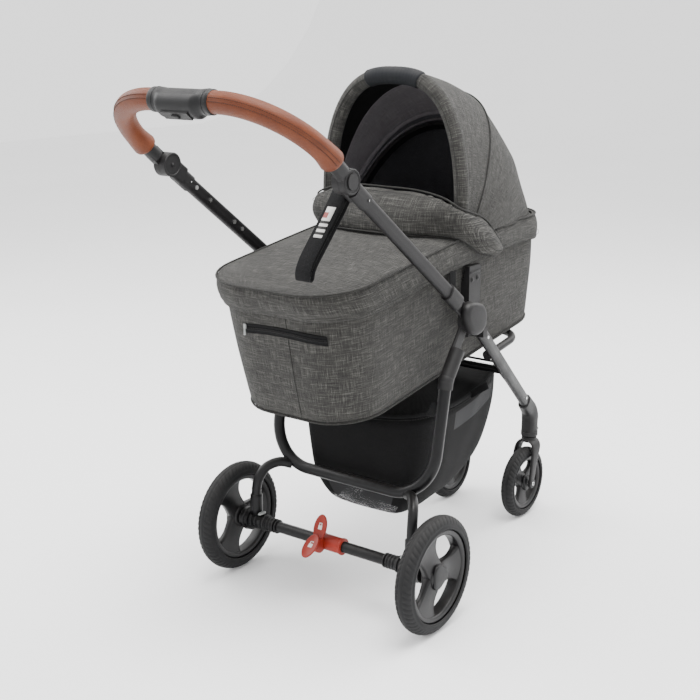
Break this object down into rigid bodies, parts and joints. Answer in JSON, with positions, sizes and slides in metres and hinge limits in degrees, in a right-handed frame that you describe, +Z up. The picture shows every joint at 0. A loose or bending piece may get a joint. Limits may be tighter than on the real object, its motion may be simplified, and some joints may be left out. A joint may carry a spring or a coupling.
{
  "type": "baby stroller",
  "caption": "Folding baby stroller with a lift-off hooded carrycot, tilting push handle, swivelling front casters, linked foot brake and under-seat basket.",
  "frame": {"origin": "floor, at the middle of the stroller's width and length", "axes": "+X to the pusher's right, +Y forwards, +Z up"},
  "size_m": [0.58, 1.1975, 1.136],
  "materials": {
    "graphite": "satin powder coat",
    "housing": "fine moulded texture",
    "black_plastic": "fine moulded texture",
    "steel": "satin",
    "tyre": "foam tread",
    "rim": "satin",
    "leather": "stitched grain",
    "melange": "linen-look weave",
    "black_cloth": "plain weave",
    "mattress": "smooth",
    "foam": "closed foam",
    "brake_red": "satin",
    "release_grey": "satin",
    "webbing": "ribbed webbing"
  },
  "bodies": {
    "front_frame": {"front_leg_right": "graphite", "front_leg_left": "graphite", "hinge_covers": "housing", "caster_housings": "housing", "cross_tube": "graphite", "seat_bar": "graphite", "basket": "black_cloth", "carrier_mounts": "black_plastic", "leg_screws": "steel"},
    "push_frame": {"push_tube_right": "graphite", "push_tube_left": "graphite", "tube_sockets": "housing", "handle_hubs": "housing", "push_rivets": "steel", "wrist_strap": "webbing"},
    "rear_frame": {"rear_loop": "black_plastic", "rear_sockets": "housing", "wheel_legs": "black_plastic", "axle_housings": "black_plastic", "axle_bar": "black_plastic", "wheel_axles": "steel"},
    "handle": {"handle_tube": "graphite", "grip_right": "leather", "grip_left": "leather", "handle_housing": "black_plastic", "handle_yokes": "housing"},
    "fold_trigger": {"fold_trigger": "housing"},
    "handle_button_right": {"handle_button_right": "housing"},
    "handle_button_left": {"handle_button_left": "housing"},
    "brake_pedal": {"brake_pedal": "brake_red", "pedal_screw": "steel"},
    "brake_pin_right": {"brake_pin_right": "steel"},
    "brake_pin_left": {"brake_pin_left": "steel"},
    "wheel_release_right": {"wheel_release_right": "release_grey"},
    "wheel_release_left": {"wheel_release_left": "release_grey"},
    "rear_wheel_right": {"rear_tyre_right": "tyre", "rear_rim_right": "rim"},
    "rear_wheel_left": {"rear_tyre_left": "tyre", "rear_rim_left": "rim"},
    "caster_right": {"caster_fork_right": "housing"},
    "caster_left": {"caster_fork_left": "housing"},
    "front_wheel_right": {"front_tyre_right": "tyre", "front_rim_right": "rim"},
    "front_wheel_left": {"front_tyre_left": "tyre", "front_rim_left": "rim"},
    "caster_lock_right": {"caster_lock_right": "black_plastic"},
    "caster_lock_left": {"caster_lock_left": "black_plastic"},
    "carrycot": {"tub": "melange", "mattress": "mattress", "apron": "melange", "wind_flap": "melange", "tub_brackets": "housing", "hood_pivots": "steel", "hood_rear_panel": "melange"},
    "hood_front": {"hood_front_panel": "melange", "hood_bow": "black_plastic", "carry_grip": "foam"},
    "hood_mid": {"hood_mid_panel": "melange", "hood_mid_bow": "black_plastic"}
  },
  "joints": [
    {"name": "frame_fold", "type": "hinge", "parent": "front_frame", "child": "push_frame", "pos_m": [0, 0.04978, 0.627], "axis": [-1, 0, 0], "range_deg": [0, 150]},
    {"name": "rear_fold", "type": "hinge", "parent": "front_frame", "child": "rear_frame", "pos_m": [0, 0.04978, 0.627], "axis": [1, 0, 0], "range_deg": [0, 50], "deforming": ["basket"]},
    {"name": "handle_tilt", "type": "hinge", "parent": "push_frame", "child": "handle", "pos_m": [0, -0.39527, 0.96359], "axis": [1, 0, 0], "range_deg": [-50, 60]},
    {"name": "trigger_squeeze", "type": "slide", "parent": "handle", "child": "fold_trigger", "axis": [0, 0.6293, 0.7771], "range_m": [0, 0.005], "stiffness_N_per_m": 400},
    {"name": "handle_button_press_right", "type": "slide", "parent": "handle", "child": "handle_button_right", "axis": [-1, 0, 0], "range_m": [0, 0.003], "stiffness_N_per_m": 400},
    {"name": "handle_button_press_left", "type": "slide", "parent": "handle", "child": "handle_button_left", "axis": [1, 0, 0], "range_m": [0, 0.003], "stiffness_N_per_m": 400},
    {"name": "brake_rock", "type": "hinge", "parent": "rear_frame", "child": "brake_pedal", "pos_m": [0, -0.15822, 0.127], "axis": [1, 0, 0], "range_deg": [-12, 12]},
    {"name": "brake_pin_slide_right", "type": "slide", "parent": "rear_frame", "child": "brake_pin_right", "axis": [1, 0, 0], "range_m": [-0.003, 0.003]},
    {"name": "wheel_release_press_right", "type": "slide", "parent": "rear_frame", "child": "wheel_release_right", "axis": [0, 0, -1], "range_m": [0, 0.0025], "stiffness_N_per_m": 400},
    {"name": "rear_wheel_spin_right", "type": "hinge", "parent": "rear_frame", "child": "rear_wheel_right", "pos_m": [0.27, -0.15822, 0.127], "axis": [1, 0, 0], "continuous": true},
    {"name": "caster_swivel_right", "type": "hinge", "parent": "front_frame", "child": "caster_right", "pos_m": [0.11, 0.53578, 0.2], "axis": [0, 0, 1], "continuous": true},
    {"name": "front_wheel_spin_right", "type": "hinge", "parent": "caster_right", "child": "front_wheel_right", "pos_m": [0.11, 0.50778, 0.091], "axis": [1, 0, 0], "continuous": true},
    {"name": "caster_lock_press_right", "type": "slide", "parent": "front_frame", "child": "caster_lock_right", "axis": [0, 0, -1], "range_m": [0, 0.005]},
    {"name": "brake_pin_slide_left", "type": "slide", "parent": "rear_frame", "child": "brake_pin_left", "axis": [-1, 0, 0], "range_m": [-0.003, 0.003]},
    {"name": "wheel_release_press_left", "type": "slide", "parent": "rear_frame", "child": "wheel_release_left", "axis": [0, 0, -1], "range_m": [0, 0.0025], "stiffness_N_per_m": 400},
    {"name": "rear_wheel_spin_left", "type": "hinge", "parent": "rear_frame", "child": "rear_wheel_left", "pos_m": [-0.27, -0.15822, 0.127], "axis": [1, 0, 0], "continuous": true},
    {"name": "caster_swivel_left", "type": "hinge", "parent": "front_frame", "child": "caster_left", "pos_m": [-0.11, 0.53578, 0.2], "axis": [0, 0, 1], "continuous": true},
    {"name": "front_wheel_spin_left", "type": "hinge", "parent": "caster_left", "child": "front_wheel_left", "pos_m": [-0.11, 0.50778, 0.091], "axis": [1, 0, 0], "continuous": true},
    {"name": "caster_lock_press_left", "type": "slide", "parent": "front_frame", "child": "caster_lock_left", "axis": [0, 0, -1], "range_m": [0, 0.005]},
    {"name": "carrycot_lift", "type": "slide", "parent": "front_frame", "child": "carrycot", "axis": [0, 0, 1], "range_m": [0, 0.7]},
    {"name": "hood_fold", "type": "hinge", "parent": "carrycot", "child": "hood_front", "pos_m": [0, 0.06878, 0.752], "axis": [-1, 0, 0], "range_deg": [0, 50]},
    {"name": "hood_mid_fold", "type": "hinge", "parent": "carrycot", "child": "hood_mid", "pos_m": [0, 0.06878, 0.752], "axis": [-1, 0, 0], "range_deg": [0, 25]}
  ],
  "couplings": [
    {"joint": "rear_fold", "follows": "frame_fold", "ratio": 0.33333},
    {"joint": "hood_mid_fold", "follows": "hood_fold", "ratio": 0.5},
    {"joint": "brake_pin_slide_right", "follows": "brake_rock", "m_per_rad": 0.014324},
    {"joint": "brake_pin_slide_left", "follows": "brake_rock", "m_per_rad": 0.014324}
  ]
}
